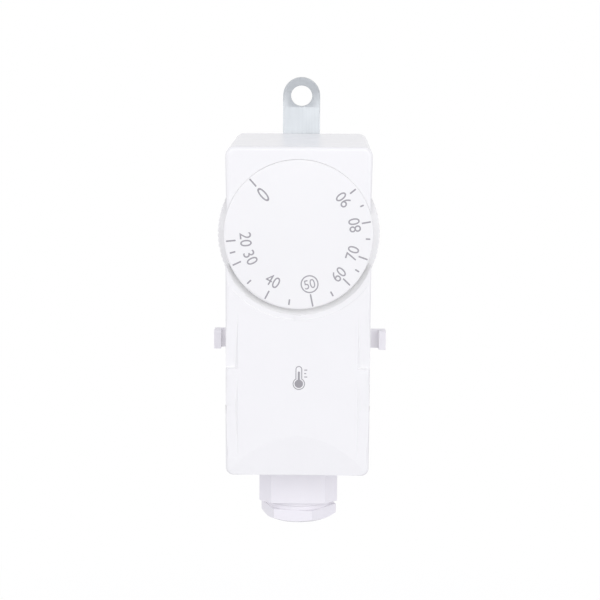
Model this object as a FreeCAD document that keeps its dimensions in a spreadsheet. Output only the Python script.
"""Strap-on pipe temperature switch: a dial under a white cover sets a bimetal switch.

Millimetres. +Z is up along the pipe, the dial faces -Y, and the origin is the centre of the
contact face, where the plate on the back lies against the pipe.
"""
import FreeCAD, Part
import math
import os
import re
import Sketcher

doc = FreeCAD.newDocument("pipe_temperature_switch")
sizes = doc.addObject("Spreadsheet::Sheet", "Sizes")

SIZES = {
    "contact plate": {
        "plate_thickness": 1.2,
        "plate_width": 24,
        "plate_length": 80,
        "tongue_width": 10.6,
        "tongue_bend": 53.3,
        "tongue_lean": 12,
        "tongue_hole": 6.1,
        "tongue_hole_rise": 3.3,
        "rivet_shank": 2.4,
        "rivet_head": 4.4,
        "rivet_head_height": 1,
        "rivet_side": 9.5,
        "rivet_height": 35.5,
    },
    "cover": {
        "cover_width": 38,
        "cover_wall": 1.6,
        "front_wall": 2.2,
        "front_room": 13.3,
        "front_fall": 3.3,
        "cover_top": 43,
        "cover_bottom": 44.1,
        "top_rise": 2.9,
        "rim_setback": 2,
        "top_corner": 2.5,
        "bottom_corner": 2,
        "front_edge": 1,
        "grip_width": 3.3,
        "grip_depth": 1,
        "grip_top": 0,
        "grip_ledge": 15.2,
        "grip_ledge_height": 1.9,
        "grip_end": 40,
        "scoop_start": 33.3,
        "scoop_radius": 164,
        "scoop_lean": 6,
        "ring_radius": 22.5,
        "ring_depth": 0.25,
        "index_width": 1.4,
        "index_height": 0.35,
        "barb_depth": 0.8,
        "barb_height": 0.5,
        "barb_ledge": 0.8,
        "barb_length": 10,
        "barb_drop": 24,
        "scoop_run": 20,
        "scoop_overrun": 5,
    },
    "dial": {
        "dial_height": 20.4,
        "dial_proud": 0.1,
        "dial_radius": 19.45,
        "dial_skin": 2,
        "dial_edge": 0.5,
        "upper_gap": 0.3,
        "lower_gap": 1.15,
        "wheel_radius": 21.2,
        "wheel_inset": 5.4,
        "wheel_thickness": 6,
        "wheel_wall": 2.4,
        "wheel_gap": 0.5,
        "wheel_grooves": 96,
        "groove_radius": 0.3,
        "hub_radius": 5,
        "hub_inset": 11.2,
    },
    "setting screw": {
        "spindle_radius": 3,
        "spindle_inset": 2,
        "thread_radius": 2.5,
        "thread_end": 18.6,
        "collar_radius": 4.5,
        "collar_thickness": 1,
        "clip_radius": 4.4,
        "clip_thickness": 0.8,
        "running_gap": 0.05,
        "end_gap": 0.1,
        "nut_half_width": 7.7,
        "nut_thickness": 3.5,
        "nut_back": 20,
        "nut_half_height": 5,
        "spring_radius": 3.25,
        "spring_wire": 0.9,
        "spring_turns": 5,
        "clip_mouth_half": 1.8,
    },
    "base": {
        "floor_thickness": 2.4,
        "floor_gap": 0.3,
        "tower_half_width": 10,
        "tower_wall": 2,
        "tower_gap": 3,
        "tower_plate": 2.5,
        "tower_half_height": 8.4,
        "window_half_width": 4.2,
        "window_top": 36,
        "window_bottom": 10,
        "lug_thickness": 2.2,
        "lug_height": 5,
        "guide_front": 8.8,
        "guide_back": 6,
        "guide_height": 7,
        "bracket_thickness": 2.25,
        "hook_reach": 24.8,
        "hook_height": 5.4,
        "hook_drop": 13.3,
        "hook_thickness": 1.8,
        "hook_lip": 2,
        "hook_lip_depth": 5.4,
        "notch_gap": 0.3,
    },
    "bimetal": {
        "blade_thickness": 0.8,
        "blade_half_width": 3.5,
        "blade_top": 34,
        "blade_end": 8,
        "blade_foot": 8,
        "foot_rivet_inset": 2.4,
        "foot_rivet_spacing": 3.2,
        "blade_offset": 1.4,
        "blade_joggle": 4,
        "pusher_drop": 6,
        "pusher_radius": 1.5,
        "pusher_collar": 2.3,
        "pusher_collar_thickness": 0.8,
    },
    "lever": {
        "lever_thickness": 1.6,
        "lever_front": 12.4,
        "lever_half_width": 4,
        "lever_top": 26,
        "lever_end": 11.5,
        "pivot_height": 7,
        "pivot_radius": 1,
        "barrel_radius": 2.2,
        "trim_screw_radius": 1.2,
        "trim_screw_tip": 0.6,
    },
    "switch": {
        "switch_length": 27.8,
        "switch_depth": 15.9,
        "switch_thickness": 10.3,
        "switch_lid": 1.5,
        "switch_back": 14,
        "switch_top": 5.7,
        "button_radius": 1.5,
        "button_drop": 9,
        "button_length": 3.5,
        "button_travel": 1.2,
        "switch_screw_radius": 1.45,
        "switch_screw_head": 2.6,
        "switch_screw_head_height": 1.9,
        "screw_edge": 2.8,
        "terminal_thickness": 0.8,
        "terminal_half_width": 3.2,
        "terminal_length": 7,
        "terminal_stand": 2.2,
        "terminal_screw_radius": 1.4,
        "terminal_screw_head": 2.7,
        "terminal_screw_head_height": 2,
        "open_terminal_drop": 9,
        "closed_terminal_drop": 21,
        "common_terminal_depth": 20.4,
        "earth_side": 9,
        "earth_drop": 25,
        "earth_half_width": 2.5,
        "earth_stand": 6.8,
        "earth_screw_reach": 4,
        "common_screw_reach": 3.4,
        "slot_width": 0.6,
        "slot_depth": 0.7,
    },
    "gland": {
        "boss_half_width": 11,
        "boss_front": 24,
        "boss_chamfer": 3.4,
        "boss_end": 57.2,
        "boss_rise": 0.5,
        "bore_radius": 5,
        "collar_ring_radius": 9.4,
        "collar_ring_height": 1.4,
        "spigot_radius": 7.6,
        "spigot_end": 60.3,
        "seal_radius": 6.2,
        "seal_bore": 3.5,
        "seal_length": 6.2,
        "clamp_radius": 7.2,
        "clamp_thickness": 0.8,
        "clamp_bore": 4,
        "nut_across_flats": 18.9,
        "nut_turn": -9,
        "nut_end": 63.5,
        "nut_shoulder_radius": 9.2,
        "nut_shoulder_height": 1,
        "nut_end_radius": 8.3,
        "nut_end_slope": 25,
        "nut_lip_radius": 4.6,
    },
}

# the cover's depth comes from the works stacked under it, and the dial's depths follow the cover
WORKED_OUT = {
    "terminal_front": "=switch_back + switch_depth + terminal_stand + terminal_thickness",
    "front_depth_top": "=terminal_front + terminal_screw_head_height + front_room",
    "front_depth_bottom": "=front_depth_top - front_fall",
    "dial_front": "=front_depth_top + dial_proud",
    "wheel_front": "=front_depth_top - wheel_inset",
    "wheel_back": "=wheel_front - wheel_thickness",
    "hub_back": "=front_depth_top - hub_inset",
    "spindle_front": "=front_depth_top - spindle_inset",
    "tower_front": "=hub_back - tower_gap",
}

row = 0
for heading, values in {**SIZES, "worked out": WORKED_OUT}.items():
    row += 1
    sizes.set(f"A{row}", heading)
    for name, value in values.items():
        row += 1
        sizes.set(f"A{row}", name)
        sizes.set(f"B{row}", str(value))
        sizes.setAlias(f"B{row}", name)
doc.recompute()

NAMES = {name for values in SIZES.values() for name in values} | set(WORKED_OUT)
# a cut starts this far outside the face that it goes through
HAIR = 0.01


def formula(text):
    """The formula with every size's name pointed at its cell in the sheet."""
    return re.sub(r"[a-z][a-z_]*", lambda word: cell(word.group()), text)


def cell(word):
    return f"Sizes.{word}" if word in NAMES else word


def bind(item, settings):
    """Binds each of an object's properties to a formula in the sheet's sizes."""
    for prop, text in settings.items():
        item.setExpression(prop, formula(text))


# places worked out from the sizes, as distances from the contact face or the origin
INNER_HALF = "(cover_width / 2 - cover_wall)"
OUTER_HALF = "(cover_width / 2)"
FLOOR_FRONT = "(plate_thickness + floor_thickness)"
FRONT_SLOPE = "(front_fall / (cover_top + cover_bottom))"
FACE_LEAN = "atan(front_fall / (cover_top + cover_bottom))"
CHAMBER_RADIUS = "(wheel_radius + wheel_gap)"
CHAMBER_FRONT = "(wheel_front + wheel_gap)"
SLOT_HALF = f"(sqrt(wheel_radius ^ 2 - {INNER_HALF} ^ 2) + wheel_gap)"
TOWER_BACK_FACE = "(tower_front - tower_plate)"
PIVOT_DEPTH = "(lever_front - lever_thickness / 2)"
LEVER_BACK = "(lever_front - lever_thickness)"
BLADE_BACK = "(plate_thickness + running_gap)"
BLADE_FRONT = f"({BLADE_BACK} + blade_offset + blade_thickness)"
SWITCH_FRONT = "(switch_back + switch_depth)"
SWITCH_BOTTOM = "(switch_top + switch_length)"
GLAND_DEPTH = "((boss_front + plate_thickness) / 2)"
CAVITY_BOTTOM = "(cover_bottom - cover_wall)"
BRACKET_START = "(switch_thickness / 2 + end_gap)"
NUT_TOP = "(boss_end + collar_ring_height + end_gap)"
CLAMP_TOP = "(spigot_end + end_gap)"
HEXAGON_HEIGHT = f"(nut_end - {NUT_TOP} - nut_shoulder_height)"


def face_depth(height):
    """The depth of the cover's leaning front face at a height above the origin."""
    return f"(front_depth_top - {FRONT_SLOPE} * (cover_top - ({height})))"


def box(name, across, depth, height):
    """A block between two formulas across (X), in depth (towards the front) and in height (Z)."""
    item = doc.addObject("Part::Box", name)
    bind(item, {
        "Length": f"{across[1]} - ({across[0]})",
        "Width": f"{depth[1]} - ({depth[0]})",
        "Height": f"{height[1]} - ({height[0]})",
        "Placement.Base.x": across[0],
        "Placement.Base.y": f"-({depth[1]})",
        "Placement.Base.z": height[0],
    })
    return item


def outwards(side, near, far):
    """Two places across, measured outwards on the left (-1) or the right (1)."""
    return (near, far) if side > 0 else (f"-({far})", f"-({near})")


AXIS_TURNS = {
    "across": FreeCAD.Rotation(FreeCAD.Vector(0, 1, 0), 90),
    "forward": FreeCAD.Rotation(FreeCAD.Vector(1, 0, 0), 90),
    "up": FreeCAD.Rotation(),
}


def rod(name, way, radius, start, length, place):
    """A cylinder that runs across, forward or up from its start; place gives its other two places."""
    item = doc.addObject("Part::Cylinder", name)
    item.Placement = FreeCAD.Placement(FreeCAD.Vector(), AXIS_TURNS[way])
    along = {"across": "x", "forward": "y", "up": "z"}[way]
    sign = "-" if way == "forward" else ""
    settings = {
        "Radius": radius,
        "Height": length,
        f"Placement.Base.{along}": f"{sign}({start})",
    }
    for axis, text in place.items():
        settings[f"Placement.Base.{axis}"] = text
    bind(item, settings)
    return item


def fuse(name, shapes):
    item = doc.addObject("Part::MultiFuse", name)
    item.Shapes = shapes
    item.Refine = True
    return item


def cut(name, base, tools):
    item = doc.addObject("Part::Cut", name)
    item.Base = base
    item.Tool = tools[0] if len(tools) == 1 else fuse(f"{name}_tools", tools)
    item.Refine = True
    return item


def group(name, shapes):
    item = doc.addObject("Part::Compound", name)
    item.Links = shapes
    return item


def body(name):
    return doc.addObject("PartDesign::Body", name)


def plane(owner, role):
    return [item for item in owner.Origin.OriginFeatures if item.Role == role][0]


def sketch(owner, name, role, offset="0"):
    """An empty sketch on one of the body's own origin planes, moved along the plane's normal."""
    item = owner.newObject("Sketcher::SketchObject", name)
    item.AttachmentSupport = [(plane(owner, role), "")]
    item.MapMode = "FlatFace"
    bind(item, {"AttachmentOffset.Base.z": offset})
    return item


def outline(item, points):
    """A closed outline through points that are each bound to formulas."""
    count = len(points)
    turns = [2 * math.pi * i / count for i in range(count)]
    start = [FreeCAD.Vector(math.cos(turn), math.sin(turn), 0) for turn in turns]
    first = item.GeometryCount
    for i in range(count):
        item.addGeometry(Part.LineSegment(start[i], start[(i + 1) % count]))
    for i in range(count):
        item.addConstraint(Sketcher.Constraint("Coincident", first + i, 2, first + (i + 1) % count, 1))
    for i, point in enumerate(points):
        for kind, text, value in zip(("DistanceX", "DistanceY"), point, start[i]):
            number = item.addConstraint(Sketcher.Constraint(kind, -1, 1, first + i, 1, value))
            item.setExpression(f"Constraints[{number}]", formula(text))


def rectangle(item, left, right, low, high):
    outline(item, [(left, low), (right, low), (right, high), (left, high)])


def circle(item, across, height, radius):
    """A circle whose centre and radius are bound to formulas."""
    number = item.addGeometry(Part.Circle(FreeCAD.Vector(1, 1, 0), FreeCAD.Vector(0, 0, 1), 1))
    for kind, text in (("DistanceX", across), ("DistanceY", height)):
        held = item.addConstraint(Sketcher.Constraint(kind, -1, 1, number, 3, 1))
        item.setExpression(f"Constraints[{held}]", formula(text))
    held = item.addConstraint(Sketcher.Constraint("Radius", number, 1))
    item.setExpression(f"Constraints[{held}]", formula(radius))


def feature(owner, kind, name, profile, length, centred=False, reverse=False):
    """A pad or pocket of a sketch by a formula's length."""
    item = owner.newObject(f"PartDesign::{kind}", name)
    item.Profile = profile
    bind(item, {"Length": length})
    if centred:
        item.SideType = "Symmetric"
    item.Reversed = reverse
    return item


def edges_where(shape, test):
    return [f"Edge{i + 1}" for i, edge in enumerate(shape.Edges) if test(edge.BoundBox)]


def fillet(owner, name, base, radius, test):
    doc.recompute()
    item = owner.newObject("PartDesign::Fillet", name)
    item.Base = (base, edges_where(base.Shape, test))
    bind(item, {"Radius": radius})
    return item


parts = {}


def keep(name, item):
    """Makes an object a sub-part under the name of its file."""
    item.Label = name
    parts[name] = item
    return item


# contact plate: zinc-plated steel, with a tongue whose holed end leans forward
plate_blank = body("plate_blank")
plate_sketch = sketch(plate_blank, "plate_outline", "XZ_Plane")
outline(plate_sketch, [
    ("-plate_width / 2", "-plate_length / 2"),
    ("plate_width / 2", "-plate_length / 2"),
    ("plate_width / 2", "plate_length / 2"),
    ("tongue_width / 2", "plate_length / 2"),
    ("tongue_width / 2", "tongue_bend"),
    ("-tongue_width / 2", "tongue_bend"),
    ("-tongue_width / 2", "plate_length / 2"),
    ("-plate_width / 2", "plate_length / 2"),
])
feature(plate_blank, "Pad", "plate_sheet", plate_sketch, "plate_thickness")

EYE_HEIGHT = "tongue_hole_rise"
eye_link = doc.addObject("Part::Box", "eye_link")
bind(eye_link, {
    "Length": "tongue_width",
    "Width": "plate_thickness",
    "Height": EYE_HEIGHT,
    "Placement.Base.x": "-tongue_width / 2",
})
eye_disc = rod("eye_disc", "forward", "tongue_width / 2", "-plate_thickness", "plate_thickness",
               {"z": EYE_HEIGHT})
eye_hole = rod("eye_hole", "forward", "tongue_hole / 2", "-plate_thickness * 2", "plate_thickness * 3",
               {"z": EYE_HEIGHT})
# the disc is used only above the bend, where its lower part would swing behind the plate
below_bend = doc.addObject("Part::Box", "below_bend")
bind(below_bend, {
    "Length": "tongue_width + 2",
    "Width": "plate_thickness + 2",
    "Height": "tongue_width",
    "Placement.Base.x": "-tongue_width / 2 - 1",
    "Placement.Base.y": "-1",
    "Placement.Base.z": "-tongue_width",
})
tongue_eye = cut("tongue_eye", fuse("eye_blank", [eye_link, eye_disc]), [eye_hole, below_bend])
# a first angle other than zero gives each turn its axis, and the formula then sets the angle
tongue_eye.Placement = FreeCAD.Placement(FreeCAD.Vector(), FreeCAD.Rotation(FreeCAD.Vector(1, 0, 0), 1))
bind(tongue_eye, {
    "Placement.Base.y": "-plate_thickness",
    "Placement.Base.z": "tongue_bend",
    "Placement.Rotation.Angle": "tongue_lean",
})
bend_fill = doc.addObject("Part::Cylinder", "bend_fill")
bend_fill.Placement = FreeCAD.Placement(
    FreeCAD.Vector(), FreeCAD.Rotation(FreeCAD.Vector(1, 1, 1), 120)
)
bind(bend_fill, {
    "Radius": "plate_thickness",
    "Height": "tongue_width",
    "Angle": "tongue_lean",
    "Placement.Base.x": "-tongue_width / 2",
    "Placement.Base.y": "-plate_thickness",
    "Placement.Base.z": "tongue_bend",
})
RIVET_PLACES = [(side, up) for side in (-1, 1) for up in (-1, 1)]
rivet_holes = [
    rod(f"plate_rivet_hole_{i}", "forward", "rivet_shank / 2 + running_gap", "-1", "plate_thickness + 2",
        {"x": f"{side} * rivet_side", "z": f"{up} * rivet_height"})
    for i, (side, up) in enumerate(RIVET_PLACES)
]
BLADE_RIVETS = ["blade_top - foot_rivet_inset", "blade_top - foot_rivet_inset - foot_rivet_spacing"]
blade_rivet_holes = [
    rod(f"blade_rivet_hole_{i}", "forward", "rivet_shank / 2 + end_gap", "-1", "plate_thickness + 2",
        {"z": place})
    for i, place in enumerate(BLADE_RIVETS)
]
keep("contact_plate", cut("contact_plate", fuse("plate_with_eye", [plate_blank, tongue_eye, bend_fill]),
                          rivet_holes + blade_rivet_holes))

# cover: a moulded shell, open at the back, with a leaning front face
cover_shell = body("cover_shell")
side_profile = sketch(cover_shell, "side_profile", "YZ_Plane")
outline(side_profile, [
    ("-front_depth_top", "cover_top"),
    ("-front_depth_bottom", "-cover_bottom"),
    ("-rim_setback", "-cover_bottom"),
    ("-rim_setback", "cover_top + top_rise"),
])
cover_block = feature(cover_shell, "Pad", "cover_block", side_profile, "cover_width", centred=True)
LONG_EDGE = 20
top_rounds = fillet(cover_shell, "top_rounds", cover_block, "top_corner",
                    lambda b: b.XLength < HAIR and b.YLength > LONG_EDGE and b.ZMin > 0)
bottom_rounds = fillet(cover_shell, "bottom_rounds", top_rounds, "bottom_corner",
                       lambda b: b.XLength < HAIR and b.YLength > LONG_EDGE and b.ZMax < 0)
# the first edges that reach the front run round the whole front outline
front_rounds = fillet(cover_shell, "front_rounds", bottom_rounds, "front_edge",
                      lambda b: b.YMax < -LONG_EDGE)
cavity_profile = sketch(cover_shell, "cavity_profile", "YZ_Plane")
outline(cavity_profile, [
    ("front_wall - front_depth_top", "cover_top - cover_wall"),
    ("front_wall - front_depth_bottom", f"-{CAVITY_BOTTOM}"),
    ("0", f"-{CAVITY_BOTTOM}"),
    ("0", "cover_top + top_rise - cover_wall"),
])
feature(cover_shell, "Pocket", "cavity", cavity_profile, f"2 * {INNER_HALF}", centred=True)
chamber = sketch(cover_shell, "wheel_chamber_circle", "XZ_Plane", CHAMBER_FRONT)
circle(chamber, "0", "dial_height", CHAMBER_RADIUS)
feature(cover_shell, "Pocket", "wheel_chamber", chamber, f"{CHAMBER_FRONT} - wheel_back + wheel_gap")
dial_hole = sketch(cover_shell, "dial_hole_circle", "XZ_Plane", "front_depth_top + 1")
circle(dial_hole, "0", "dial_height", "dial_radius + upper_gap")
feature(cover_shell, "Pocket", "dial_hole", dial_hole, f"front_depth_top + 1 - {CHAMBER_FRONT}")
slots = sketch(cover_shell, "side_slot_outline", "YZ_Plane")
rectangle(slots, f"-{CHAMBER_FRONT}", "-wheel_back + wheel_gap",
          f"dial_height - {SLOT_HALF}", f"dial_height + {SLOT_HALF}")
feature(cover_shell, "Pocket", "side_slots", slots, "cover_width + 2", centred=True)
gland_notch = sketch(cover_shell, "gland_notch_outline", "XZ_Plane")
rectangle(gland_notch, "-boss_half_width - notch_gap", "boss_half_width + notch_gap",
          "-cover_bottom - 1", f"-{CAVITY_BOTTOM} + 1")
feature(cover_shell, "Pocket", "gland_opening", gland_notch, "boss_front + notch_gap", reverse=True)
hook_notch = sketch(cover_shell, "hook_notch_outline", "YZ_Plane")
rectangle(hook_notch, f"-{FLOOR_FRONT} - notch_gap", "0",
          "-hook_drop - hook_height / 2 - notch_gap", "-hook_drop + hook_height / 2 + notch_gap")
feature(cover_shell, "Pocket", "hook_openings", hook_notch, "cover_width + 2", centred=True)

GRIP_INNER = f"({OUTER_HALF} - grip_width)"
for side, turned in (("left", False), ("right", True)):
    start = f"-{GRIP_INNER}" if side == "left" else GRIP_INNER
    grip = sketch(cover_shell, f"{side}_grip_outline", "YZ_Plane", start)
    # a ramp that deepens down to the ledge, and a shallow one that fades out below it
    outline(grip, [
        (f"-{face_depth('-grip_top')} - {HAIR}", "-grip_top"),
        (f"-{face_depth('-grip_ledge')} + grip_depth", "-grip_ledge"),
        (f"-{face_depth('-grip_ledge')} - 1", "-grip_ledge"),
        (f"-{face_depth('-grip_top')} - 1", "-grip_top"),
    ])
    outline(grip, [
        (f"-{face_depth('-grip_ledge')} + grip_depth", "-grip_ledge - grip_ledge_height"),
        (f"-{face_depth('-grip_end')} - {HAIR}", "-grip_end"),
        (f"-{face_depth('-grip_end')} - 1", "-grip_end"),
        (f"-{face_depth('-grip_ledge')} - 1", "-grip_ledge - grip_ledge_height"),
    ])
    feature(cover_shell, "Pocket", f"{side}_grip", grip, "grip_width + 1", reverse=turned)

# the opening is wider below the dial's axis, and a shallow ring surrounds it there
lower_gap_cut = doc.addObject("Part::Cylinder", "lower_gap_cut")
lower_gap_cut.Placement = FreeCAD.Placement(
    FreeCAD.Vector(), FreeCAD.Rotation(FreeCAD.Vector(1, 0, 0), -90)
)
bind(lower_gap_cut, {
    "Radius": "dial_radius + lower_gap",
    "Height": f"front_depth_top + 1 - {CHAMBER_FRONT}",
    "Placement.Base.y": "-front_depth_top - 1",
    "Placement.Base.z": "dial_height",
})
lower_gap_cut.Angle = 180
ring_cut = doc.addObject("Part::Cylinder", "ring_cut")
ring_cut.Placement = FreeCAD.Placement(FreeCAD.Vector(), FreeCAD.Rotation(FreeCAD.Vector(1, 0, 0), -80))
bind(ring_cut, {
    "Radius": "ring_radius",
    "Height": "ring_depth + 1",
    "Placement.Base.y": f"-{face_depth('dial_height')} - cos({FACE_LEAN})",
    "Placement.Base.z": f"dial_height - sin({FACE_LEAN})",
    "Placement.Rotation.Angle": f"{FACE_LEAN} - 90 deg",
})
ring_cut.Angle = 180
SCOOP_LEAN = f"({FACE_LEAN} + scoop_lean * 1 deg)"
scoop = doc.addObject("Part::Cylinder", "scoop")
scoop.Placement = FreeCAD.Placement(FreeCAD.Vector(), FreeCAD.Rotation(FreeCAD.Vector(1, 0, 0), 10))
bind(scoop, {
    "Radius": "scoop_radius",
    "Height": "scoop_run + scoop_overrun",
    "Placement.Base.y": f"-{face_depth('-scoop_start')} - scoop_radius * cos({SCOOP_LEAN})"
                        f" + scoop_run * sin({SCOOP_LEAN})",
    "Placement.Base.z": f"-scoop_start - scoop_radius * sin({SCOOP_LEAN}) - scoop_run * cos({SCOOP_LEAN})",
    "Placement.Rotation.Angle": SCOOP_LEAN,
})
index_rib = box(
    "index_rib",
    ("-index_width / 2", "index_width / 2"),
    (f"{face_depth('dial_height - ring_radius')} - cover_wall / 2",
     f"{face_depth('dial_height - ring_radius')} + index_height"),
    ("dial_height - ring_radius", "dial_height - dial_radius - lower_gap - 0.1"),
)
BARB_FRONT = f"({FLOOR_FRONT} - barb_ledge - end_gap)"
barbs = [
    box(f"barb_{name}", outwards(side, f"{INNER_HALF} - barb_depth", f"{INNER_HALF} + end_gap"),
        (f"{BARB_FRONT} - barb_height", BARB_FRONT),
        ("-barb_drop - barb_length / 2", "-barb_drop + barb_length / 2"))
    for name, side in (("left", -1), ("right", 1))
]
cover_cut = cut("cover_cut", cover_shell, [lower_gap_cut, ring_cut, scoop])
keep("cover", fuse("cover", [cover_cut, index_rib] + barbs))

# dial: a moulded disc with a wider grip wheel that shows through slots in the cover's sides
dial_disc = body("dial_disc")
dial_profile = sketch(dial_disc, "dial_profile", "YZ_Plane")
outline(dial_profile, [
    ("-dial_front", "0"),
    ("-dial_front", "dial_radius"),
    ("-wheel_front", "dial_radius"),
    ("-wheel_front", "wheel_radius"),
    ("-wheel_back", "wheel_radius"),
    ("-wheel_back", "wheel_radius - wheel_wall"),
    ("-wheel_front + dial_skin", "wheel_radius - wheel_wall"),
    ("-wheel_front + dial_skin", "dial_radius - dial_skin"),
    ("-dial_front + dial_skin", "dial_radius - dial_skin"),
    ("-dial_front + dial_skin", "hub_radius"),
    ("-hub_back", "hub_radius"),
    ("-hub_back", "spindle_radius"),
    ("-spindle_front - end_gap", "spindle_radius"),
    ("-spindle_front - end_gap", "0"),
])
dial_turned = dial_disc.newObject("PartDesign::Revolution", "dial_turned")
dial_turned.Profile = dial_profile
dial_turned.ReferenceAxis = (dial_profile, ["H_Axis"])
dial_turned.Angle = 360
dial_edge = fillet(dial_disc, "dial_edge_round", dial_turned, "dial_edge",
                   lambda b: b.YLength < HAIR and b.YMax < HAIR - sizes.dial_front)
groove_sketch = sketch(dial_disc, "groove_circle", "XZ_Plane", "wheel_front + 1")
circle(groove_sketch, "0", "wheel_radius + groove_radius / 3", "groove_radius")
groove = feature(dial_disc, "Pocket", "groove", groove_sketch, "wheel_front - wheel_back + 2")
grooves = dial_disc.newObject("PartDesign::PolarPattern", "grooves")
grooves.Originals = [groove]
grooves.Axis = (plane(dial_disc, "Y_Axis"), [""])
grooves.Angle = 360
bind(grooves, {"Occurrences": "wheel_grooves"})
dial_disc.Tip = grooves
bind(dial_disc, {"Placement.Base.z": "dial_height"})
keep("dial_knob", dial_disc)

# setting screw: a brass spindle that carries a square nut, and the clip that holds it
spindle_pieces = [
    rod("spindle_shaft", "forward", "spindle_radius - running_gap / 2", TOWER_BACK_FACE,
        f"spindle_front - {TOWER_BACK_FACE}", {"z": "dial_height"}),
    rod("spindle_collar", "forward", "collar_radius",
        f"{TOWER_BACK_FACE} - end_gap - collar_thickness", "collar_thickness", {"z": "dial_height"}),
    rod("spindle_neck", "forward", "thread_radius", f"{TOWER_BACK_FACE} - end_gap - 1", "end_gap + 2",
        {"z": "dial_height"}),
    rod("spindle_thread", "forward", "thread_radius", "thread_end",
        f"{TOWER_BACK_FACE} - thread_end", {"z": "dial_height"}),
]
keep("spindle", fuse("spindle", spindle_pieces))
clip_ring = rod("clip_ring", "forward", "clip_radius", "tower_front + end_gap", "clip_thickness",
                {"z": "dial_height"})
clip_bore = rod("clip_bore", "forward", "spindle_radius + running_gap / 2", "tower_front - 1",
                "clip_thickness + 3", {"z": "dial_height"})
clip_mouth = box("clip_mouth", ("-clip_mouth_half", "clip_mouth_half"),
                 ("tower_front - 1", "tower_front + clip_thickness + 2"),
                 ("dial_height - clip_radius - 1", "dial_height - spindle_radius / 2"))
keep("spindle_clip", cut("spindle_clip", clip_ring, [clip_bore, clip_mouth]))

nut_plate = box("nut_plate", ("-nut_half_width", "nut_half_width"), ("nut_back", "nut_back + nut_thickness"),
                ("dial_height - nut_half_height", "dial_height + nut_half_height"))
nut_thread = rod("nut_thread", "forward", "thread_radius + running_gap", "nut_back - 1",
                 "nut_thickness + 2", {"z": "dial_height"})
keep("setting_nut", cut("setting_nut", nut_plate, [nut_thread]))


def coil(radius, wire, turns, length):
    """A wire coil along Z from the origin, with its wire's centre starting on +X."""
    rise = length - wire
    helix = Part.makeHelix(rise / turns, rise, radius)
    start = FreeCAD.Vector(radius, 0, 0)
    section = Part.Wire([Part.makeCircle(wire / 2, start, FreeCAD.Vector(0, 1, 0))])
    return Part.Wire(helix.Edges).makePipeShell([section], True, True)


spring = doc.addObject("Part::Feature", "range_spring")
spring_length = sizes.nut_back - sizes.lever_front - 2 * sizes.end_gap
spring.Shape = coil(sizes.spring_radius, sizes.spring_wire, sizes.spring_turns, spring_length)
spring.Placement = FreeCAD.Placement(
    FreeCAD.Vector(0, -sizes.lever_front - sizes.end_gap - sizes.spring_wire / 2, sizes.dial_height),
    AXIS_TURNS["forward"],
)
keep("range_spring", spring)

# base: the white moulding that carries the works, with strap hooks and the gland boss
floor = box("floor", (f"-{INNER_HALF} + floor_gap", f"{INNER_HALF} - floor_gap"),
            ("plate_thickness", FLOOR_FRONT),
            (f"-{CAVITY_BOTTOM} + floor_gap", "cover_top - cover_wall"))
LUG_INNER = "(lever_half_width + notch_gap)"
solids = [floor]
for name, side in (("left", -1), ("right", 1)):
    solids += [
        box(f"tower_wall_{name}", outwards(side, "tower_half_width - tower_wall", "tower_half_width"),
            ("plate_thickness", "tower_front"),
            ("dial_height - tower_half_height", "dial_height + tower_half_height")),
        box(f"pivot_lug_{name}", outwards(side, LUG_INNER, f"{LUG_INNER} + lug_thickness"),
            ("plate_thickness", f"{PIVOT_DEPTH} + lug_height / 2"),
            ("pivot_height - lug_height / 2", "pivot_height + lug_height / 2")),
        box(f"guide_leg_{name}",
            outwards(side, "window_half_width + end_gap", "window_half_width + lug_thickness"),
            ("plate_thickness", "guide_front"),
            ("-pusher_drop - guide_height / 2", "-pusher_drop + guide_height / 2")),
        box(f"hook_arm_{name}", outwards(side, f"{INNER_HALF} - 2", "hook_reach"),
            (f"{FLOOR_FRONT} - hook_thickness", FLOOR_FRONT),
            ("-hook_drop - hook_height / 2", "-hook_drop + hook_height / 2")),
        box(f"hook_lip_{name}", outwards(side, "hook_reach - hook_lip", "hook_reach"),
            (f"{FLOOR_FRONT} - hook_thickness", f"{FLOOR_FRONT} - hook_thickness + hook_lip_depth"),
            ("-hook_drop - hook_height / 2", "-hook_drop + hook_height / 2")),
    ]
solids += [
    box("tower_plate", ("-tower_half_width", "tower_half_width"), (TOWER_BACK_FACE, "tower_front"),
        ("dial_height - tower_half_height", "dial_height + tower_half_height")),
    box("guide_bridge", ("-window_half_width - lug_thickness", "window_half_width + lug_thickness"),
        ("guide_back", "guide_front"),
        ("-pusher_drop - guide_height / 2", "-pusher_drop + guide_height / 2")),
    box("switch_bracket", (BRACKET_START, f"{BRACKET_START} + bracket_thickness"),
        ("plate_thickness", SWITCH_FRONT), (f"-{SWITCH_BOTTOM}", "-switch_top")),
]
boss = body("gland_boss")
boss_outline = sketch(boss, "boss_outline", "XY_Plane", "-boss_end")
outline(boss_outline, [
    ("-boss_half_width", "-plate_thickness - boss_chamfer"),
    ("-boss_half_width + boss_chamfer", "-plate_thickness"),
    ("boss_half_width - boss_chamfer", "-plate_thickness"),
    ("boss_half_width", "-plate_thickness - boss_chamfer"),
    ("boss_half_width", "-boss_front + boss_chamfer"),
    ("boss_half_width - boss_chamfer", "-boss_front"),
    ("-boss_half_width + boss_chamfer", "-boss_front"),
    ("-boss_half_width", "-boss_front + boss_chamfer"),
])
feature(boss, "Pad", "boss_pad", boss_outline, f"boss_end - {CAVITY_BOTTOM} + boss_rise")
GLAND = {"y": f"-{GLAND_DEPTH}"}
solids += [
    boss,
    rod("gland_collar", "up", "collar_ring_radius", "-boss_end - collar_ring_height",
        "collar_ring_height + 1", GLAND),
    rod("gland_spigot", "up", "spigot_radius", "-spigot_end", "spigot_end - boss_end + 1", GLAND),
]
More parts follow.
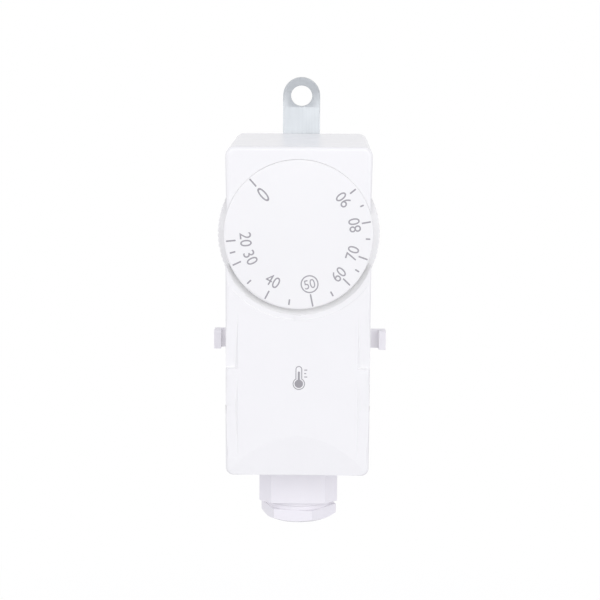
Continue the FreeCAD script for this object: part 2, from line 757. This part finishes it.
SCREW_PLACES = [
    ("(switch_back + screw_edge)", f"({SWITCH_BOTTOM} - screw_edge)"),
    (f"({SWITCH_FRONT} - screw_edge)", "(switch_top + screw_edge)"),
]
openings = [
    box("blade_window", ("-window_half_width", "window_half_width"), ("0", f"{FLOOR_FRONT} + {HAIR}"),
        ("-window_bottom", "window_top")),
    box("earth_window",
        ("-earth_side - earth_half_width - notch_gap", "-earth_side + earth_half_width + notch_gap"),
        ("0", f"{FLOOR_FRONT} + 1"),
        ("-earth_drop - earth_half_width - notch_gap * 2", "-earth_drop + earth_half_width + notch_gap * 2")),
    rod("bearing", "forward", "spindle_radius + running_gap / 2", f"{TOWER_BACK_FACE} - 1",
        "tower_plate + 2", {"z": "dial_height"}),
    rod("pusher_hole", "forward", "pusher_radius + running_gap", "guide_back - 1",
        "guide_front - guide_back + 2", {"z": "-pusher_drop"}),
    rod("pivot_hole", "across", "pivot_radius + running_gap / 5", "-tower_half_width",
        "2 * tower_half_width", {"y": f"-{PIVOT_DEPTH}", "z": "pivot_height"}),
    rod("seal_pocket", "up", "seal_radius + running_gap", "-spigot_end - 1", "seal_length + 1 + end_gap",
        GLAND),
    rod("cable_bore", "up", "bore_radius", "-spigot_end", f"spigot_end - {CAVITY_BOTTOM} + boss_rise + 1",
        GLAND),
]
openings += [
    rod(f"bracket_hole_{i}", "across", "switch_screw_radius + running_gap / 5", "0", "tower_half_width",
        {"y": f"-{depth}", "z": f"-{drop}"})
    for i, (depth, drop) in enumerate(SCREW_PLACES)
]
openings += [
    rod(f"floor_rivet_hole_{i}", "forward", "rivet_shank / 2 + running_gap / 5", "0", f"{FLOOR_FRONT} + 1",
        {"x": f"{side} * rivet_side", "z": f"{up} * rivet_height"})
    for i, (side, up) in enumerate(RIVET_PLACES)
]
for name, side in (("left", -1), ("right", 1)):
    openings.append(box(
        f"barb_ledge_{name}", outwards(side, f"{INNER_HALF} - barb_depth - notch_gap", OUTER_HALF),
        ("0", f"{FLOOR_FRONT} - barb_ledge"),
        ("-barb_drop - barb_length / 2 - notch_gap", "-barb_drop + barb_length / 2 + notch_gap")))
keep("base", cut("base", fuse("base_solids", solids), openings))

# rivets that hold the contact plate to the base
plate_rivets = []
for i, (side, up) in enumerate(RIVET_PLACES):
    place = {"x": f"{side} * rivet_side", "z": f"{up} * rivet_height"}
    plate_rivets.append(fuse(f"plate_rivet_{i}", [
        rod(f"plate_rivet_shank_{i}", "forward", "rivet_shank / 2", "end_gap", f"{FLOOR_FRONT} - end_gap",
            place),
        rod(f"plate_rivet_head_{i}", "forward", "rivet_head / 2", FLOOR_FRONT, "rivet_head_height", place),
    ]))
keep("plate_rivets", group("plate_rivets", plate_rivets))

# bimetal: a blade riveted to the plate at its top, stepped forward below its foot
blade = body("blade")
blade_profile = sketch(blade, "blade_profile", "YZ_Plane")
FOOT_END = "(blade_top - blade_foot)"
JOGGLE_END = "(blade_top - blade_foot - blade_joggle)"
outline(blade_profile, [
    (f"-{BLADE_BACK}", "blade_top"),
    (f"-{BLADE_BACK}", FOOT_END),
    (f"-{BLADE_BACK} - blade_offset", JOGGLE_END),
    (f"-{BLADE_BACK} - blade_offset", "-blade_end"),
    (f"-{BLADE_FRONT}", "-blade_end"),
    (f"-{BLADE_FRONT}", JOGGLE_END),
    (f"-{BLADE_BACK} - blade_thickness", FOOT_END),
    (f"-{BLADE_BACK} - blade_thickness", "blade_top"),
])
feature(blade, "Pad", "blade_strip", blade_profile, "2 * blade_half_width", centred=True)
blade_holes = [
    rod(f"foot_hole_{i}", "forward", "rivet_shank / 2 + running_gap / 5", "0", "blade_offset + blade_joggle",
        {"z": place})
    for i, place in enumerate(BLADE_RIVETS)
]
keep("bimetal", cut("bimetal", blade, blade_holes))
blade_rivets = []
for i, place in enumerate(BLADE_RIVETS):
    blade_rivets.append(fuse(f"blade_rivet_{i}", [
        rod(f"blade_rivet_shank_{i}", "forward", "rivet_shank / 2", "end_gap",
            f"{BLADE_BACK} + blade_thickness - end_gap", {"z": place}),
        rod(f"blade_rivet_head_{i}", "forward", "rivet_head / 2", f"{BLADE_BACK} + blade_thickness",
            "rivet_head_height", {"z": place}),
    ]))
keep("bimetal_rivets", group("bimetal_rivets", blade_rivets))

# pusher: the insulating pin between the bimetal and the lever
PUSHER_BACK = f"({BLADE_FRONT} + end_gap)"
PUSHER_FRONT = f"({LEVER_BACK} - trim_screw_tip - end_gap)"
keep("pusher_pin", fuse("pusher_pin", [
    rod("pusher_rod", "forward", "pusher_radius", PUSHER_BACK, f"{PUSHER_FRONT} - {PUSHER_BACK}",
        {"z": "-pusher_drop"}),
    rod("pusher_flange", "forward", "pusher_collar", f"{PUSHER_BACK} + end_gap", "pusher_collar_thickness",
        {"z": "-pusher_drop"}),
]))

# rocker lever: pressed steel on a pivot pin, with the trimming screw that meets the pusher
lever_plate = box("lever_plate", ("-lever_half_width", "lever_half_width"), (LEVER_BACK, "lever_front"),
                  ("-lever_end", "lever_top"))
lever_barrel = rod("lever_barrel", "across", "barrel_radius", "-lever_half_width", "2 * lever_half_width",
                   {"y": f"-{PIVOT_DEPTH}", "z": "pivot_height"})
lever_bore = rod("lever_bore", "across", "pivot_radius + running_gap", "-lever_half_width - 1",
                 "2 * lever_half_width + 2", {"y": f"-{PIVOT_DEPTH}", "z": "pivot_height"})
trim_hole = rod("trim_hole", "forward", "trim_screw_radius + running_gap / 5", f"{LEVER_BACK} - 1",
                "lever_thickness + 2", {"z": "-pusher_drop"})
keep("rocker_lever", cut("rocker_lever", fuse("lever_blank", [lever_plate, lever_barrel]),
                         [lever_bore, trim_hole]))
keep("trimming_screw", rod("trimming_screw", "forward", "trim_screw_radius",
                           f"{LEVER_BACK} - trim_screw_tip", "lever_thickness + trim_screw_tip",
                           {"z": "-pusher_drop"}))
PIN_HALF = f"({LUG_INNER} + lug_thickness)"
keep("pivot_pin", rod("pivot_pin", "across", "pivot_radius", f"-{PIN_HALF}", f"2 * {PIN_HALF}",
                      {"y": f"-{PIVOT_DEPTH}", "z": "pivot_height"}))

# switch: a snap-action switch in a two-part case, screwed to the base's bracket
SWITCH_HALF = "(switch_thickness / 2)"
SWITCH_SPLIT = f"({SWITCH_HALF} - switch_lid)"
switch_block = box("switch_block", (f"-{SWITCH_HALF}", SWITCH_SPLIT), ("switch_back", SWITCH_FRONT),
                   (f"-{SWITCH_BOTTOM}", "-switch_top"))
switch_lid_block = box("switch_lid_block", (SWITCH_SPLIT, SWITCH_HALF), ("switch_back", SWITCH_FRONT),
                       (f"-{SWITCH_BOTTOM}", "-switch_top"))
button_well = rod("button_well", "forward", "button_radius + running_gap", "switch_back - 1",
                  f"lever_front + end_gap + button_length + button_travel - switch_back + 1",
                  {"z": "-button_drop"})


def switch_screw_holes(owner):
    return [
        rod(f"{owner}_hole_{i}", "across", "switch_screw_radius + running_gap / 5", "-tower_half_width",
            "2 * tower_half_width", {"y": f"-{depth}", "z": f"-{drop}"})
        for i, (depth, drop) in enumerate(SCREW_PLACES)
    ]


keep("switch_case", cut("switch_case", switch_block, [button_well] + switch_screw_holes("case")))
keep("switch_lid", cut("switch_lid", switch_lid_block, switch_screw_holes("lid")))
keep("switch_button", rod("switch_button", "forward", "button_radius", "lever_front + end_gap",
                          "button_length", {"z": "-button_drop"}))


def slotted_screw(name, way, head, head_height, shank, place, seat, reach):
    """A slotted screw with its head's seat and its tip at two places along its way."""
    sign = -1 if way == "across" else 1
    if way == "across":
        head_start, shank_start = f"{seat} - {head_height}", seat
        mouth = box(f"{name}_slot", (f"{head_start} - {HAIR}", f"{head_start} + slot_depth"),
                    (f"-({place['y']}) - slot_width / 2", f"-({place['y']}) + slot_width / 2"),
                    (f"{place['z']} - {head} - 1", f"{place['z']} + {head} + 1"))
    else:
        head_start, shank_start = seat, reach
        across = place.get("x", "0")
        mouth = box(f"{name}_slot", (f"{across} - {head} - 1", f"{across} + {head} + 1"),
                    (f"{seat} + {head_height} - slot_depth", f"{seat} + {head_height} + {HAIR}"),
                    (f"{place['z']} - slot_width / 2", f"{place['z']} + slot_width / 2"))
    length = f"{reach} - ({seat})" if sign < 0 else f"{seat} - ({reach})"
    solid = fuse(f"{name}_solid", [
        rod(f"{name}_head", way, head, head_start, head_height, place),
        rod(f"{name}_shank", way, shank, shank_start, length, place),
    ])
    return cut(name, solid, [mouth])


switch_screws = [
    slotted_screw(f"switch_screw_{i}", "across", "switch_screw_head", "switch_screw_head_height",
                  "switch_screw_radius", {"y": f"-{depth}", "z": f"-{drop}"}, f"-{SWITCH_HALF}",
                  f"{BRACKET_START} + bracket_thickness")
    for i, (depth, drop) in enumerate(SCREW_PLACES)
]
keep("switch_screws", group("switch_screws", switch_screws))


def face_terminal(name, drop):
    """A brass tab that stands off the switch's front face, bent down along it."""
    tab = body(f"{name}_tab")
    profile = sketch(tab, f"{name}_profile", "YZ_Plane")
    outline(profile, [
        (f"-{SWITCH_FRONT}", f"-{drop}"),
        (f"-{SWITCH_FRONT} - terminal_stand - terminal_thickness", f"-{drop}"),
        (f"-{SWITCH_FRONT} - terminal_stand - terminal_thickness", f"-{drop} - terminal_length"),
        (f"-{SWITCH_FRONT} - terminal_stand", f"-{drop} - terminal_length"),
        (f"-{SWITCH_FRONT} - terminal_stand", f"-{drop} - terminal_thickness"),
        (f"-{SWITCH_FRONT}", f"-{drop} - terminal_thickness"),
    ])
    feature(tab, "Pad", f"{name}_strip", profile, "2 * terminal_half_width", centred=True)
    hole = rod(f"{name}_hole", "forward", "terminal_screw_radius + running_gap / 5", SWITCH_FRONT,
               "terminal_stand + terminal_thickness + 1", {"z": f"-{drop} - terminal_length / 2"})
    return cut(name, tab, [hole])


keep("terminal_open", face_terminal("terminal_open", "open_terminal_drop"))
keep("terminal_closed", face_terminal("terminal_closed", "closed_terminal_drop"))
common_tab = box("common_tab", ("-terminal_half_width", "terminal_half_width"),
                 ("common_terminal_depth - terminal_thickness", "common_terminal_depth"),
                 (f"-{SWITCH_BOTTOM} - terminal_length", f"-{SWITCH_BOTTOM}"))
COMMON_DROP = f"({SWITCH_BOTTOM} + terminal_length / 2)"
common_hole = rod("common_hole", "forward", "terminal_screw_radius + running_gap / 5",
                  "common_terminal_depth - 3", "6", {"z": f"-{COMMON_DROP}"})
keep("terminal_common", cut("terminal_common", common_tab, [common_hole]))
terminal_screws = [
    slotted_screw(f"terminal_screw_{name}", "forward", "terminal_screw_head", "terminal_screw_head_height",
                  "terminal_screw_radius", {"z": height}, seat, reach)
    for name, height, seat, reach in (
        ("open", "-open_terminal_drop - terminal_length / 2", "terminal_front", f"{SWITCH_FRONT} + end_gap"),
        ("closed", "-closed_terminal_drop - terminal_length / 2", "terminal_front", f"{SWITCH_FRONT} + end_gap"),
        ("common", f"-{COMMON_DROP}", "common_terminal_depth",
         "common_terminal_depth - common_screw_reach"),
    )
]
keep("terminal_screws", group("terminal_screws", terminal_screws))

# earth terminal: a stepped steel tab welded to the contact plate, with its screw
earth = body("earth_tab")
earth_profile = sketch(earth, "earth_profile", "YZ_Plane", "-earth_side - earth_half_width")
EARTH_TOP = "(plate_thickness + terminal_thickness + earth_stand)"
outline(earth_profile, [
    ("-plate_thickness", "-earth_drop - earth_half_width"),
    ("-plate_thickness", "-earth_drop + earth_half_width"),
    (f"-{EARTH_TOP}", "-earth_drop + earth_half_width"),
    (f"-{EARTH_TOP}", "-earth_drop - earth_half_width * 2"),
    (f"-{EARTH_TOP} + terminal_thickness", "-earth_drop - earth_half_width * 2"),
    (f"-{EARTH_TOP} + terminal_thickness", "-earth_drop + earth_half_width - terminal_thickness"),
    ("-plate_thickness - terminal_thickness", "-earth_drop + earth_half_width - terminal_thickness"),
    ("-plate_thickness - terminal_thickness", "-earth_drop - earth_half_width"),
])
feature(earth, "Pad", "earth_strip", earth_profile, "2 * earth_half_width")
EARTH_PLACE = {"x": "-earth_side", "z": "-earth_drop - earth_half_width / 2"}
earth_hole = rod("earth_hole", "forward", "terminal_screw_radius + running_gap / 5",
                 f"{EARTH_TOP} - terminal_thickness - 1", "terminal_thickness + 2", EARTH_PLACE)
keep("earth_terminal", cut("earth_terminal", earth, [earth_hole]))
keep("earth_screw", slotted_screw("earth_screw", "forward", "terminal_screw_head",
                                  "terminal_screw_head_height", "terminal_screw_radius", EARTH_PLACE,
                                  EARTH_TOP, f"{EARTH_TOP} - earth_screw_reach"))

# cable gland: a rubber seal in the spigot, a clamp ring and a hexagon nut with a round shoulder
seal_ring = rod("seal_ring", "up", "seal_radius", "-spigot_end", "seal_length", GLAND)
seal_hole = rod("seal_hole", "up", "seal_bore", "-spigot_end - 1", "seal_length + 2", GLAND)
keep("gland_seal", cut("gland_seal", seal_ring, [seal_hole]))
clamp_ring = rod("clamp_ring", "up", "clamp_radius", f"-{CLAMP_TOP} - clamp_thickness", "clamp_thickness",
                 GLAND)
clamp_hole = rod("clamp_hole", "up", "clamp_bore", f"-{CLAMP_TOP} - clamp_thickness - 1",
                 "clamp_thickness + 2", GLAND)
keep("gland_clamp_ring", cut("gland_clamp_ring", clamp_ring, [clamp_hole]))
hexagon = doc.addObject("Part::Prism", "hexagon")
hexagon.Polygon = 6
hexagon.Placement = FreeCAD.Placement(FreeCAD.Vector(), FreeCAD.Rotation(FreeCAD.Vector(0, 0, 1), 10))
bind(hexagon, {
    "Circumradius": "nut_across_flats / 2 / cos(30)",
    "Height": HEXAGON_HEIGHT,
    "Placement.Base.y": f"-{GLAND_DEPTH}",
    "Placement.Base.z": "-nut_end",
    "Placement.Rotation.Angle": "nut_turn * 1 deg",
})
nut_taper = doc.addObject("Part::Cone", "nut_taper")
bind(nut_taper, {
    "Radius1": "nut_end_radius",
    "Radius2": f"nut_end_radius + {HEXAGON_HEIGHT} / tan(nut_end_slope)",
    "Height": HEXAGON_HEIGHT,
    "Placement.Base.y": f"-{GLAND_DEPTH}",
    "Placement.Base.z": "-nut_end",
})
nut_common = doc.addObject("Part::MultiCommon", "nut_common")
nut_common.Shapes = [hexagon, nut_taper]
nut_shoulder = rod("nut_shoulder", "up", "nut_shoulder_radius", f"-{NUT_TOP} - nut_shoulder_height - 1",
                   "nut_shoulder_height + 1", GLAND)
nut_blank = fuse("nut_blank", [nut_common, nut_shoulder])
nut_thread_bore = rod("nut_thread_bore", "up", "spigot_radius + running_gap * 2",
                      f"-{CLAMP_TOP} - clamp_thickness - end_gap", "nut_end", GLAND)
nut_mouth = rod("nut_mouth", "up", "nut_lip_radius", "-nut_end - 1", "nut_end", GLAND)
keep("gland_nut", cut("gland_nut", nut_blank, [nut_thread_bore, nut_mouth]))

doc.recompute()
for item in doc.Objects:
    if any(word in item.State for word in ("Invalid", "Error")):
        raise RuntimeError(f"{item.Label} could not be made: {item.State}")
for name, item in parts.items():
    if item.Shape.isNull() or not item.Shape.isValid() or not item.Shape.Solids:
        raise RuntimeError(f"{name} has no valid solid")

os.makedirs("parts", exist_ok=True)
for name, item in parts.items():
    item.Shape.exportStep(f"parts/{name}.step")
    print(f"{name}: {len(item.Shape.Solids)} solids, {item.Shape.Volume:.1f} mm3")
